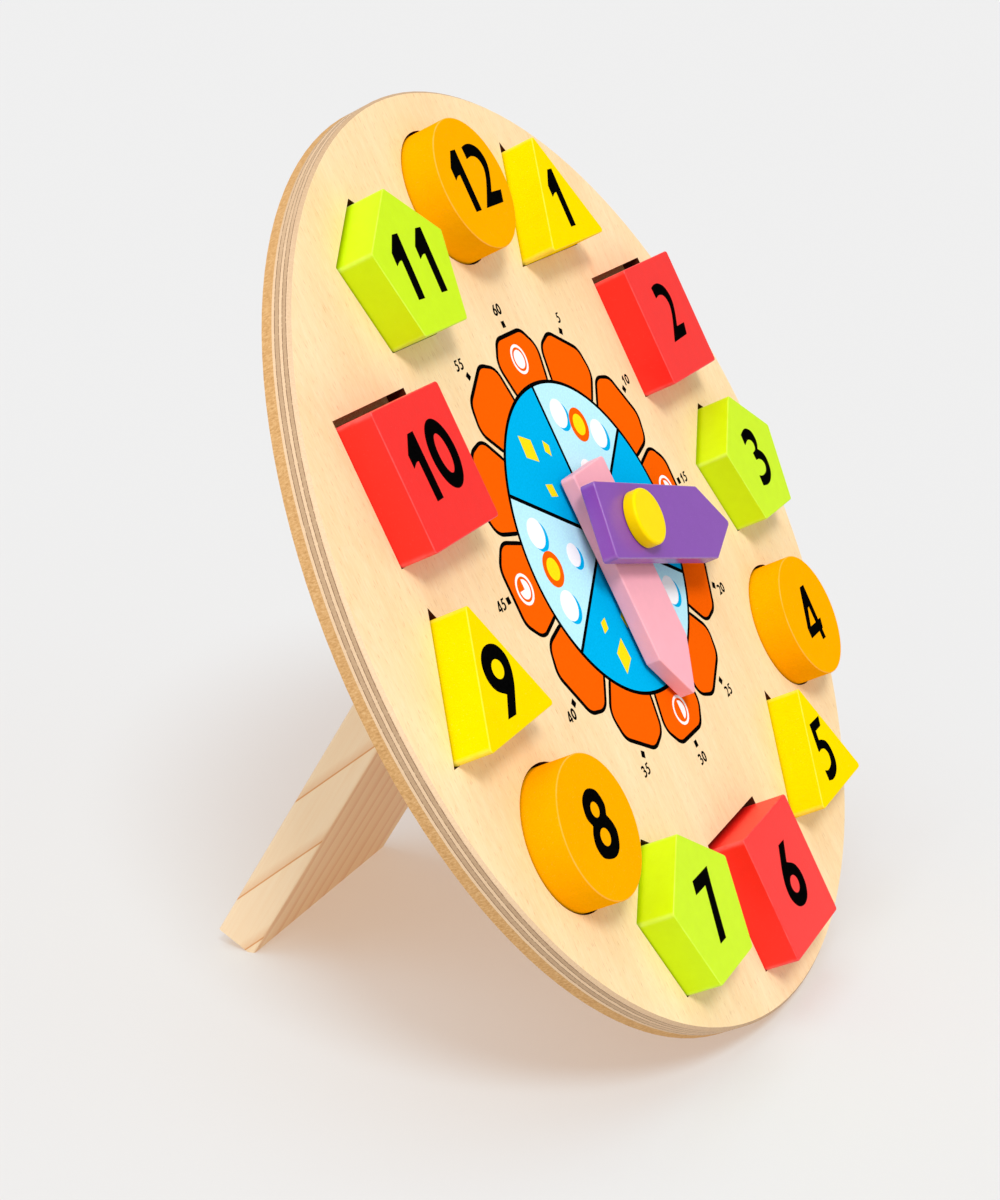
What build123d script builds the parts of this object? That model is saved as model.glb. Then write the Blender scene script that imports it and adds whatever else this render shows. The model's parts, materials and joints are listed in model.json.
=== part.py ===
"""Wooden shape-sorting teaching clock: a round plywood dial with twelve lift-out number blocks,
two friction-held hands on one turned peg, and a dowelled plank leg that props the dial up.

Every piece is drawn in the board's own frame: x towards 3 o'clock, y towards 12 o'clock,
z out of the face, with z = 0 on the face and x = y = 0 at the middle of the disc.
lean_back() then tips the board and sets it on the floor, with +Z up and the dial facing -Y.
"""
from build123d import *
import os
from math import cos, pi, radians, sin

# ---- board -------------------------------------------------------------------------------
BOARD_DIAMETER = 285.0
PLYWOOD_THICKNESS = 5.8
BACKING_THICKNESS = 3.2
FACE_EDGE_BEVEL = 0.8
LEAN = 28.2                      # degrees that the board leans back from upright

# ---- number blocks and their sockets --------------------------------------------------------
RIM_TO_BLOCK_CENTRES = 34.5      # from the rim in to the ring of block centres
SQUARE_SIDE = 38.8
DISC_DIAMETER = 40.0
TRIANGLE_SIDE = 40.6
PENTAGON_SIDE = 26.4
BLOCK_STANDOUT = 10.9            # height of a seated block above the face
BLOCK_CORNER_RADIUS = 1.0        # upright corners
BLOCK_EDGE_BEVEL = 0.3           # round the front
SEAT_GAP = 0.05                  # between a block and the backing board that it rests on

# What each hour carries, and how far its block lies from an even ring (right, up).
HOURS = {
    12: ("disc", 0.8, 1.8),
    1: ("triangle", -3.4, 1.5),
    2: ("square", -2.2, -3.6),
    3: ("pentagon", 0.0, -3.6),
    4: ("disc", 1.6, -1.8),
    5: ("triangle", 6.8, 0.2),
    6: ("square", -0.1, -2.4),
    7: ("pentagon", -1.1, -3.2),
    8: ("disc", 1.1, -3.2),
    9: ("triangle", 1.2, -12.1),
    10: ("square", 3.4, -9.2),
    11: ("pentagon", 1.4, 0.2),
}

# The sockets are loose, and the blocks have settled towards the lower left of them.
# For each shape: the gap all round a block in the middle, and its shift in gaps (right, up).
SOCKETS = {
    "disc": (0.7, -0.30, -0.15),
    "triangle": (0.8, -0.65, -0.80),
    "square": (1.0, -0.80, -0.90),
    "pentagon": (0.8, -0.20, -0.80),
}

# ---- hands and pivot --------------------------------------------------------------------------
PIVOT_RIGHT = 1.2                # pivot and dial print, right of the middle of the disc
PIVOT_UP = 3.0                   # and above it
HAND_WIDTH = 23.3
HAND_THICKNESS = 4.9
HAND_TAIL = 20.4                 # from the pivot back to the square end
HAND_CORNER_RADIUS = 1.2
HAND_EDGE_BEVEL = 0.5
HOUR_HAND_SHOULDER = 38.3        # from the pivot to where the point starts
HOUR_HAND_REACH = 53.8           # from the pivot to the tip
HOUR_HAND_ANGLE = 178.8          # clockwise from 12 o'clock
MINUTE_HAND_SHOULDER = 46.0
MINUTE_HAND_REACH = 62.2
MINUTE_HAND_ANGLE = 106.2
PEG_DIAMETER = 7.0
PEG_RUNNING_GAP = 0.08           # radial, between the peg and what turns on it
KNOB_DIAMETER = 17.4
KNOB_HEIGHT = 4.1
KNOB_ROUNDING = 0.9
SPACER_DIAMETER = 15.0
FACE_SPACER_THICKNESS = 1.2
HAND_SPACER_THICKNESS = 2.0
HAND_PLAY = 0.05                 # end play above and below each hand

# ---- leg ----------------------------------------------------------------------------------------
LEG_WIDTH = 89.4
LEG_THICKNESS = 13.5
LEG_ANGLE = 32.1                 # between the leg and the square to the board
LEG_ROOT_UP = 13.4               # where the leg's front face leaves the back, above the middle
LEG_EDGE_ROUNDING = 0.8
FOOT_FLAT = 2.4                  # width of the flat worn along the foot's lower edge
DOWEL_DIAMETER = 6.0
DOWEL_SPACING = 56.0
DOWEL_IN_BOARD = 6.2             # through the backing and into the plywood
DOWEL_IN_LEG = 8.0
DOWEL_FROM_FRONT = 4.9           # from the leg's front face to a dowel's middle, at the root
HOLE_BOTTOM_GAP = 0.3            # between a dowel's end and the bottom of its blind hole

# ---- worked out ------------------------------------------------------------------------------------
BOARD_RADIUS = BOARD_DIAMETER / 2
BOARD_THICKNESS = PLYWOOD_THICKNESS + BACKING_THICKNESS
BLOCK_RING_RADIUS = BOARD_RADIUS - RIM_TO_BLOCK_CENTRES
PEG_RADIUS = PEG_DIAMETER / 2
HOUR_HAND_BOTTOM = FACE_SPACER_THICKNESS + HAND_PLAY
HAND_SPACER_BOTTOM = HOUR_HAND_BOTTOM + HAND_THICKNESS + HAND_PLAY
MINUTE_HAND_BOTTOM = HAND_SPACER_BOTTOM + HAND_SPACER_THICKNESS + HAND_PLAY
KNOB_BOTTOM = MINUTE_HAND_BOTTOM + HAND_THICKNESS + HAND_PLAY
BOARD_CENTRE_HEIGHT = BOARD_RADIUS * cos(radians(LEAN)) + BOARD_THICKNESS * sin(radians(LEAN))


def raised(bottom, height, outline):
    """Extrude a flat outline upwards from the given level."""
    return extrude(Pos(0, 0, bottom) * outline, amount=height)


def regular_outline(sides, side, grow):
    """Regular polygon with a corner at the top, its walls moved outwards by grow."""
    corner = side / (2 * sin(pi / sides)) + grow / cos(pi / sides)
    return RegularPolygon(corner, sides, rotation=90)


def bevel_front(solid, size):
    """Bevel all round the upper face of a flat solid."""
    return chamfer(solid.edges().group_by(Axis.Z)[-1], size)


def bevel_back(solid, size):
    return chamfer(solid.edges().group_by(Axis.Z)[0], size)


def block_outline(shape, grow=0.0):
    if shape == "disc":
        return Circle(DISC_DIAMETER / 2 + grow)
    if shape == "square":
        return Rectangle(SQUARE_SIDE + 2 * grow, SQUARE_SIDE + 2 * grow)
    if shape == "triangle":
        return regular_outline(3, TRIANGLE_SIDE, grow)
    return regular_outline(5, PENTAGON_SIDE, grow)


def block_centre(hour):
    shape, right, up = HOURS[hour]
    turn = radians(30 * hour)
    return BLOCK_RING_RADIUS * sin(turn) + right, BLOCK_RING_RADIUS * cos(turn) + up


def socket_centre(hour):
    """The socket lies off its settled block by part of the gap."""
    gap, right, up = SOCKETS[HOURS[hour][0]]
    x, y = block_centre(hour)
    return x - gap * right, y - gap * up


def block(hour):
    """A solid block that seats on the backing board and stands out of the face."""
    shape = HOURS[hour][0]
    x, y = block_centre(hour)
    bottom = SEAT_GAP - PLYWOOD_THICKNESS
    outline = block_outline(shape)
    if shape != "disc":
        outline = fillet(outline.vertices(), BLOCK_CORNER_RADIUS)
    solid = raised(bottom, BLOCK_STANDOUT - bottom, Pos(x, y) * outline)
    return bevel_front(solid, BLOCK_EDGE_BEVEL)


def pivot_hole(radius, bottom, height):
    return raised(bottom, height, Pos(PIVOT_RIGHT, PIVOT_UP) * Circle(radius))


def dowel_places():
    """Middles of the two dowels on the board's back: across the leg's sloping root."""
    up = LEG_ROOT_UP + DOWEL_FROM_FRONT / cos(radians(LEG_ANGLE))
    return [(-DOWEL_SPACING / 2, up), (DOWEL_SPACING / 2, up)]


def dowel_holes():
    """Blind holes that run from inside the leg into the board, a little deeper at each end."""
    bottom = -BOARD_THICKNESS - DOWEL_IN_LEG - HOLE_BOTTOM_GAP
    depth = DOWEL_IN_LEG + DOWEL_IN_BOARD + 2 * HOLE_BOTTOM_GAP
    hole = Circle(DOWEL_DIAMETER / 2)
    return [raised(bottom, depth, Pos(x, y) * hole) for x, y in dowel_places()]


def front_panel():
    """Plywood disc, cut right through by twelve sockets and the peg's hole."""
    disc = raised(-PLYWOOD_THICKNESS, PLYWOOD_THICKNESS, Circle(BOARD_RADIUS))
    disc = bevel_front(disc, FACE_EDGE_BEVEL)
    for hour, (shape, _, _) in HOURS.items():
        socket = Pos(*socket_centre(hour)) * block_outline(shape, SOCKETS[shape][0])
        disc -= raised(-PLYWOOD_THICKNESS, PLYWOOD_THICKNESS, socket)
    disc -= pivot_hole(PEG_RADIUS, -PLYWOOD_THICKNESS, PLYWOOD_THICKNESS)
    for hole in dowel_holes():
        disc -= hole
    return disc


def backing_board():
    """Thin hardboard disc glued behind the plywood: the floor of every socket."""
    disc = raised(-BOARD_THICKNESS, BACKING_THICKNESS, Circle(BOARD_RADIUS))
    disc -= pivot_hole(PEG_RADIUS, -BOARD_THICKNESS, BACKING_THICKNESS)
    for hole in dowel_holes():
        disc -= hole
    return disc


def centre_peg():
    """Turned peg: a low rounded knob on a stem that is glued through the board."""
    head = KNOB_DIAMETER / 2
    top = KNOB_BOTTOM + KNOB_HEIGHT
    section = Polyline(
        (0, -BOARD_THICKNESS),
        (PEG_RADIUS, -BOARD_THICKNESS),
        (PEG_RADIUS, KNOB_BOTTOM),
        (head, KNOB_BOTTOM),
        (head, top - KNOB_ROUNDING),
    )
    section += RadiusArc((head, top - KNOB_ROUNDING), (head - KNOB_ROUNDING, top), -KNOB_ROUNDING)
    section += Polyline((head - KNOB_ROUNDING, top), (0, top), (0, -BOARD_THICKNESS))
    peg = revolve(Plane.XZ * make_face(section), Axis.Z)
    return Pos(PIVOT_RIGHT, PIVOT_UP) * peg


def spacer(bottom, thickness):
    """Flat ring round the peg."""
    ring = Circle(SPACER_DIAMETER / 2) - Circle(PEG_RADIUS + PEG_RUNNING_GAP)
    return raised(bottom, thickness, Pos(PIVOT_RIGHT, PIVOT_UP) * ring)


def hand(bottom, shoulder, reach, angle):
    """Flat hand with a square tail and a pointed end, turned clockwise from 12 o'clock."""
    half = HAND_WIDTH / 2
    outline = Polyline(
        (-half, -HAND_TAIL),
        (-half, shoulder),
        (0, reach),
        (half, shoulder),
        (half, -HAND_TAIL),
        close=True,
    )
    shape = make_face(outline)
    shape = fillet(shape.vertices(), HAND_CORNER_RADIUS)
    solid = bevel_front(extrude(shape, amount=HAND_THICKNESS), HAND_EDGE_BEVEL)
    solid = bevel_back(solid, HAND_EDGE_BEVEL)
    solid -= extrude(Circle(PEG_RADIUS + PEG_RUNNING_GAP), amount=HAND_THICKNESS)
    return Pos(PIVOT_RIGHT, PIVOT_UP, bottom) * Rot(0, 0, -angle) * solid


def leg_length():
    """Along the front face, from the board's back to the square-cut end.

    The end's lower corner dips under the floor by what FOOT_FLAT takes off.
    """
    slope = radians(LEAN + LEG_ANGLE)
    root_height = (
        BOARD_CENTRE_HEIGHT + LEG_ROOT_UP * cos(radians(LEAN)) - BOARD_THICKNESS * sin(radians(LEAN))
    )
    dip = FOOT_FLAT * sin(slope) * cos(slope)
    return (root_height + dip) / sin(slope)


def leg_section():
    """Side view of the leg in the board's y and z: splayed root, square end."""
    angle = radians(LEG_ANGLE)
    down = Vector(0, -sin(angle), -cos(angle))
    back = Vector(0, cos(angle), -sin(angle))
    root = Vector(0, LEG_ROOT_UP, -BOARD_THICKNESS)
    length = leg_length()
    return Polyline(
        root,
        root + down * length,
        root + down * length + back * LEG_THICKNESS,
        root + Vector(0, LEG_THICKNESS / cos(angle), 0),
        close=True,
    )


def stand_leg():
    """Pine plank that leans back to the floor from just above the middle of the board."""
    plank = extrude(make_face(leg_section()), amount=LEG_WIDTH / 2, both=True)
    edges_of_sides = plank.edges().filter_by(Axis.X, reverse=True)
    lengthwise = edges_of_sides.sort_by(SortBy.LENGTH)[-4:]
    plank = fillet(lengthwise, LEG_EDGE_ROUNDING)
    for hole in dowel_holes():
        plank -= hole
    return plank


def leg_dowel(x, y):
    """Short dowel glued into the leg and the board."""
    bottom = -BOARD_THICKNESS - DOWEL_IN_LEG
    return raised(bottom, DOWEL_IN_LEG + DOWEL_IN_BOARD, Pos(x, y) * Circle(DOWEL_DIAMETER / 2))


def lean_back(piece):
    """From the board's frame to the room: the board's lowest edge is on the floor."""
    slope = radians(LEAN)
    board = Plane(
        origin=(0, 0, BOARD_CENTRE_HEIGHT), x_dir=(1, 0, 0), z_dir=(0, -cos(slope), sin(slope))
    )
    return board.location * piece


def worn_foot(leg):
    """Take off what is under the floor: the narrow flat that the leg stands on."""
    reach = 4 * BOARD_DIAMETER
    below = Pos(0, 0, -reach / 2) * Box(reach, reach, reach)
    return leg - below


def all_pieces():
    flat = {
        "front_panel": front_panel(),
        "backing_board": backing_board(),
        "face_spacer": spacer(0, FACE_SPACER_THICKNESS),
        "hour_hand": hand(
            HOUR_HAND_BOTTOM, HOUR_HAND_SHOULDER, HOUR_HAND_REACH, HOUR_HAND_ANGLE
        ),
        "hand_spacer": spacer(HAND_SPACER_BOTTOM, HAND_SPACER_THICKNESS),
        "minute_hand": hand(
            MINUTE_HAND_BOTTOM, MINUTE_HAND_SHOULDER, MINUTE_HAND_REACH, MINUTE_HAND_ANGLE
        ),
        "centre_peg": centre_peg(),
        "stand_leg": stand_leg(),
    }
    for side, (x, y) in zip(("left", "right"), dowel_places()):
        flat[f"leg_dowel_{side}"] = leg_dowel(x, y)
    for hour in HOURS:
        flat[f"block_{hour:02d}"] = block(hour)
    standing = {name: lean_back(piece) for name, piece in flat.items()}
    standing["stand_leg"] = worn_foot(standing["stand_leg"])
    boxes = [piece.bounding_box() for piece in standing.values()]
    front = min(box.min.Y for box in boxes)
    back = max(box.max.Y for box in boxes)
    return {name: Pos(0, -(front + back) / 2, 0) * piece for name, piece in standing.items()}


os.makedirs("parts", exist_ok=True)
for name, piece in all_pieces().items():
    export_step(piece, f"parts/{name}.step")
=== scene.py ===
"""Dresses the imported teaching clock: painted blocks and hands, inked numerals and dial print,
plywood, fibre board and pine, on a pale floor under soft studio light.

Flat pieces are drawn in millimetres in the board's own frame (u towards 3 o'clock,
v towards 12 o'clock, w out of the face, 0 on the face) and are turned into the part's own
frame, in metres, as their meshes are made.
"""
import json
from math import acos, atan2, cos, pi, radians, sin, tan

import bpy
from mathutils import Matrix, Vector
from mathutils.geometry import delaunay_2d_cdt


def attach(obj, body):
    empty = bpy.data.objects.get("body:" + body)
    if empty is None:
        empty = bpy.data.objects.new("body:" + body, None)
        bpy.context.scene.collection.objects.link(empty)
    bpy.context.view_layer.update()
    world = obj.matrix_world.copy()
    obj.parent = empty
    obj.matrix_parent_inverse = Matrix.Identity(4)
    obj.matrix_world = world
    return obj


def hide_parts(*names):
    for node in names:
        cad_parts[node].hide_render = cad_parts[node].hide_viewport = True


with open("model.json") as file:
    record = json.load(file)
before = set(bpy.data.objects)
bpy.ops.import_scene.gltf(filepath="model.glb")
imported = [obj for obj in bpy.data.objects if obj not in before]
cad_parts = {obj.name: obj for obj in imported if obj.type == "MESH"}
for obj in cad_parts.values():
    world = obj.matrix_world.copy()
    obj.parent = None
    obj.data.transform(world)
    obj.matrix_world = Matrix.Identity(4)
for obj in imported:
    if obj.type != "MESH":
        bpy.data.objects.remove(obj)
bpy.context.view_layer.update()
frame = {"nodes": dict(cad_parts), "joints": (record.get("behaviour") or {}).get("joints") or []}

MM = 0.001

# ---- camera and light (metres) -------------------------------------------------------------------
CAMERA_POSITION = (-0.64854, -0.26455, 0.34058)
CAMERA_RIGHT = (0.400538, -0.916163, 0.014652)
CAMERA_UP = (0.280178, 0.137684, 0.950023)
LENS_MM = 75.0
SENSOR_MM = 36.0
NEAREST_SEEN = 0.01
WORLD_STRENGTH = 0.4
LAMPS = {                                # strength, direction towards it, degrees across
    "key": (1.75, (-0.65, -0.5, 1.0), 16.0),
    "top": (1.0, (-0.2, 0.15, 1.0), 50.0),
    "side": (0.35, (-1.0, 0.3, 0.35), 50.0),
    "fill": (0.3, (-0.2, -1.0, 0.4), 60.0),
}
FLOOR_SIZE = 14.0
FLOOR_COLOUR = (240, 240, 240)
FLOOR_LIGHT = 1.22                       # falls on the open floor; 1 shows a colour as written
FLOOR_GLOW = (0.48, 0.33, 0.25)          # the floor's own glow, painted light that keeps its shade light and warm and lights the clock from below
BACKDROP_COLOUR = (240, 240, 240)

# ---- sizes of the dressed pieces (mm, degrees) ---------------------------------------------------
BLOCK_CORNER_RADIUS = 1.0
BLOCK_EDGE_RADIUS = 0.35
HAND_CORNER_RADIUS = 1.2
HAND_EDGE_RADIUS = 0.5
HAND_WIDTH = 23.3
HAND_TAIL = 20.4
HANDS = {                                 # degrees clockwise from 12, shoulder, reach
    "hour_hand": (178.8, 38.3, 53.8),
    "minute_hand": (106.2, 46.0, 62.2),
}
PIVOT_RIGHT = 1.2
PIVOT_UP = 3.0
PEG_RADIUS = 3.5
PEG_HOLE_RADIUS = 3.58
KNOB_LIFT = 0.05                          # between the purple hand and the knob
KNOB_ROUNDING = 0.9
KNOB_UNDERSIDE_BEVEL = 0.4
STEM_OVERLAP = 0.01                       # of the stem into the knob
INK_TOP = 0.035                           # over the surface that carries the ink
INK_BOTTOM = -0.02
INK_LAYER = 0.01                          # by which each further layer of ink stands higher
CORNER_FADE = 0.5                         # beside each corner, over which its painted edge highlight fades out
MITRE_LIMIT = 0.3                         # keeps a sharp corner's inset from running away
SMOOTH_UP_TO = 50.0                       # sharper creases between faces stay sharp
DISC_STEPS = 128                          # points round a large circle
BEND_STEPS = 8                            # points round a large bend

# ---- the board's frame, from the joints ----------------------------------------------------------
JOINTS = {joint["name"]: joint for joint in frame["joints"]}
AXIS_U = Vector((1, 0, 0))
AXIS_W = Vector(JOINTS["block_12_lift_out"]["axis"]).normalized()
AXIS_V = AXIS_W.cross(AXIS_U)
PIVOT = Vector(JOINTS["hour_hand_turn"]["pos_m"])
CENTRE = PIVOT - (AXIS_U * PIVOT_RIGHT + AXIS_V * PIVOT_UP) * MM
BOARD = Matrix((AXIS_U, AXIS_V, AXIS_W)).transposed().to_4x4()
BOARD.translation = CENTRE
TO_BOARD = BOARD.inverted()


# ---- outlines ------------------------------------------------------------------------------------
def circle(u, v, radius, steps=96):
    """Circle about (u, v)."""
    return ellipse(u, v, radius, radius, steps)


def ellipse(u, v, radius_u, radius_v, steps=48):
    """Upright ellipse about (u, v), anticlockwise."""
    angles = (2 * pi * k / steps for k in range(steps))
    return [(u + radius_u * cos(a), v + radius_v * sin(a)) for a in angles]


def rounded(corners, radius, steps=6):
    """Polygon with its corners rounded off by arcs."""
    outline = []
    count = len(corners)
    for k, corner in enumerate(corners):
        here = Vector(corner)
        before = (Vector(corners[k - 1]) - here).normalized()
        after = (Vector(corners[(k + 1) % count]) - here).normalized()
        half_angle = acos(max(-1.0, min(1.0, before.dot(after)))) / 2
        middle = here + (before + after).normalized() * radius / sin(half_angle)
        start = here + before * radius / tan(half_angle) - middle
        end = here + after * radius / tan(half_angle) - middle
        turn = atan2(start.x * end.y - start.y * end.x, start.dot(end))
        outline.append(tuple(middle + start + before * CORNER_FADE))
        for step in range(steps + 1):
            spoke = start.copy()
            spoke.rotate(Matrix.Rotation(turn * step / steps, 2))
            outline.append(tuple(middle + spoke))
        outline.append(tuple(middle + end + after * CORNER_FADE))
    return outline


def smooth_outline(anchors, steps=7):
    """Closed curve through (u, v, is_corner) anchors: corners stay sharp, the rest is smooth."""
    count = len(anchors)
    outline = []
    for k in range(count):
        p0, p1, p2, p3 = (Vector(anchors[(k + step) % count][:2]) for step in (-1, 0, 1, 2))
        leaves_corner = anchors[k][2]
        meets_corner = anchors[(k + 1) % count][2]
        c1 = p1 + ((p2 - p1) / 3 if leaves_corner else (p2 - p0) / 6)
        c2 = p2 - ((p2 - p1) / 3 if meets_corner else (p3 - p1) / 6)
        pieces = 1 if leaves_corner and meets_corner else steps
        for step in range(pieces):
            t = step / pieces
            point = (1 - t) ** 3 * p1 + 3 * t * (1 - t) ** 2 * c1 + 3 * t * t * (1 - t) * c2 + t ** 3 * p2
            outline.append(tuple(point))
    return outline


def moved(outline, u, v, turn=0.0, scale=1.0):
    """Scale and turn (degrees, anticlockwise) about the origin, then shift."""
    c, s = scale * cos(radians(turn)), scale * sin(radians(turn))
    return [(u + x * c - y * s, v + x * s + y * c) for x, y in outline]


def signed_area(outline):
    """Area of an outline, positive where it runs anticlockwise."""
    return sum(a[0] * b[1] - b[0] * a[1] for a, b in zip(outline, outline[1:] + outline[:1])) / 2


def inset(outline, distance):
    """Move every point into the material, which lies to the left of the way round."""
    count = len(outline)
    result = []
    for k in range(count):
        here = Vector(outline[k])
        arriving = (here - Vector(outline[k - 1])).normalized()
        leaving = (Vector(outline[(k + 1) % count]) - here).normalized()
        left = Vector((-arriving.y - leaving.y, arriving.x + leaving.x))
        left /= max(MITRE_LIMIT, 1 + arriving.dot(leaving))
        result.append(tuple(here + left * distance))
    return result


# ---- meshes --------------------------------------------------------------------------------------
def inside(point, outline):
    """Whether a point lies within an outline."""
    x, y = point
    within = False
    for (x0, y0), (x1, y1) in zip(outline, outline[1:] + outline[:1]):
        if (y0 > y) != (y1 > y) and x < x0 + (y - y0) * (x1 - x0) / (y1 - y0):
            within = not within
    return within


def fill(loops):
    """Triangles between an outer loop and its holes: indices into the loops' points in order."""
    points = [Vector(p) for loop in loops for p in loop]
    edges = []
    start = 0
    for loop in loops:
        edges += [(start + k, start + (k + 1) % len(loop)) for k in range(len(loop))]
        start += len(loop)
    inner_triangles = 1
    nearest_apart = 1e-7
    verts, _, faces, origins, _, _ = delaunay_2d_cdt(points, edges, [], inner_triangles, nearest_apart)
    triangles = []
    for face in faces:
        a, b, c = (verts[k] for k in face)
        middle = (a + b + c) / 3
        if not inside(middle, loops[0]) or any(inside(middle, hole) for hole in loops[1:]):
            continue
        indices = tuple(origins[k][0] for k in face)
        triangles.append(indices if (b - a).cross(c - a) > 0 else indices[::-1])
    return triangles


def sharpness(outline):
    """How sharply an outline turns at each point: 1 on an arc of about 1 mm, 0 where it is straight."""
    values = []
    for k, point in enumerate(outline):
        arriving = Vector(point) - Vector(outline[k - 1])
        leaving = Vector(outline[(k + 1) % len(outline)]) - Vector(point)
        turn = arriving.angle_signed(leaving, 0.0)
        values.append(max(0.0, min(1.0, 1.2 * abs(turn) / min(arriving.length, leaving.length) - 0.1)))
    return values


def slab_mesh(name, outlines, bottom, top, edge_radius=0.0, steps=4):
    """Flat piece between two levels with rounded rims. The first outline is the outer one, the
    others are holes. The edge attribute marks the rims and corners, where the paint gets a painted
    highlight."""
    loops = [list(o) if (signed_area(o) > 0) == (k == 0) else list(reversed(o))
             for k, o in enumerate(outlines)]
    rows = [(bottom, 0.0, 0.0), (top, 0.0, 0.0)]
    if edge_radius:
        bends = [(edge_radius * (1 - sin(a)), edge_radius * (1 - cos(a)), sin(2 * a))
                 for a in (pi / 2 * k / steps for k in range(steps + 1))]
        rows = [(bottom + drop, cut, rim) for cut, drop, rim in bends]
        rows += [(top - drop, cut, rim) for cut, drop, rim in reversed(bends)]
    verts, faces, starts, wear_and_highlight = [], [], [], []
    for loop in loops:
        starts.append(len(verts))
        corners = sharpness(loop) if edge_radius else [0.0] * len(loop)
        for row, (level, cut, rim) in enumerate(rows):
            verts += [(x, y, level) for x, y in (inset(loop, cut) if cut else loop)]
            on_cap = row in (0, len(rows) - 1)
            # edge mask: 1 where the paint gets its painted highlight, 0 on the flat caps
            wear_and_highlight += [0.0 if on_cap else max(rim, corner) for corner in corners]
        count = len(loop)
        for row in range(len(rows) - 1):
            base = starts[-1] + row * count
            for k in range(count):
                n = (k + 1) % count
                faces.append((base + k, base + n, base + count + n, base + count + k))
    sides = len(faces)
    for row, reverse in ((0, True), (len(rows) - 1, False)):
        cut = rows[row][1]
        cap_loops = [inset(loop, cut) if cut else loop for loop in loops]
        places = [start + row * len(loop) + k
                  for start, loop in zip(starts, loops) for k in range(len(loop))]
        for triangle in fill(cap_loops):
            corners = [places[k] for k in triangle]
            faces.append(tuple(reversed(corners)) if reverse else tuple(corners))
    mesh = bpy.data.meshes.new(name)
    mesh.from_pydata([BOARD @ (Vector(v) * MM) for v in verts], [], faces)
    mesh.polygons.foreach_set("use_smooth", [k < sides for k in range(len(faces))])
    mesh.attributes.new("edge", "FLOAT", "POINT").data.foreach_set("value", wear_and_highlight)
    return mesh


def lathe_mesh(name, profile, u, v, steps=72):
    """Turned piece from (radius, level) points; a flat disc closes each of its ends."""
    verts = [(u + r * cos(2 * pi * k / steps), v + r * sin(2 * pi * k / steps), level)
             for r, level in profile for k in range(steps)]
    faces = [(row * steps + k, row * steps + (k + 1) % steps,
              (row + 1) * steps + (k + 1) % steps, (row + 1) * steps + k)
             for row in range(len(profile) - 1) for k in range(steps)]
    turned = len(faces)
    last = (len(profile) - 1) * steps
    faces.append(tuple(range(steps - 1, -1, -1)))
    faces.append(tuple(range(last, last + steps)))
    mesh = bpy.data.meshes.new(name)
    mesh.from_pydata([BOARD @ (Vector(p) * MM) for p in verts], [], faces)
    mesh.polygons.foreach_set("use_smooth", [k < turned for k in range(len(faces))])
    return mesh


def join_meshes(name, meshes):
    """One mesh from several, for pieces that come in many small parts."""
    verts, faces, flags = [], [], []
    for mesh in meshes:
        base = len(verts)
        verts += [v.co.copy() for v in mesh.vertices]
        faces += [tuple(base + k for k in p.vertices) for p in mesh.polygons]
        flags += [p.use_smooth for p in mesh.polygons]
        bpy.data.meshes.remove(mesh)
    mesh = bpy.data.meshes.new(name)
    mesh.from_pydata(verts, [], faces)
    mesh.polygons.foreach_set("use_smooth", flags)
    return mesh


def add_piece(mesh, material, body, replaces=()):
    """Put a mesh in the scene as a piece that rides on a body and may replace CAD nodes."""
    piece = bpy.data.objects.new(mesh.name, mesh)
    bpy.context.scene.collection.objects.link(piece)
    mesh.materials.append(material)
    mesh.set_sharp_from_angle(angle=radians(SMOOTH_UP_TO))
    weighted = piece.modifiers.new("weighted", "WEIGHTED_NORMAL")
    weighted.keep_sharp = True
    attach(piece, body)
    if replaces:
        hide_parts(*replaces)


def board_extents(node):
    """Lowest and highest (u, v, w) of a CAD node in the board's frame, in mm."""
    places = [TO_BOARD @ v.co / MM for v in frame["nodes"][node].data.vertices]
    low = Vector([min(p[k] for p in places) for k in range(3)])
    high = Vector([max(p[k] for p in places) for k in range(3)])
    return low, high


# ---- materials -----------------------------------------------------------------------------------
def linear(rgb):
    """sRGB 0..255 to linear RGBA."""
    parts = [c / 255 for c in rgb]
    return tuple(c / 12.92 if c <= 0.04045 else ((c + 0.055) / 1.055) ** 2.4 for c in parts) + (1.0,)


def grey(level):
    """Linear grey as RGBA."""
    return level, level, level, 1.0


def darker(colour, share):
    """A linear colour at a share of its brightness."""
    return tuple(c * share for c in colour[:3]) + (1.0,)


def paler(colour, share):
    """A linear colour taken a share of the way to white."""
    return tuple(c + (1.0 - c) * share for c in colour[:3]) + (1.0,)


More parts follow.
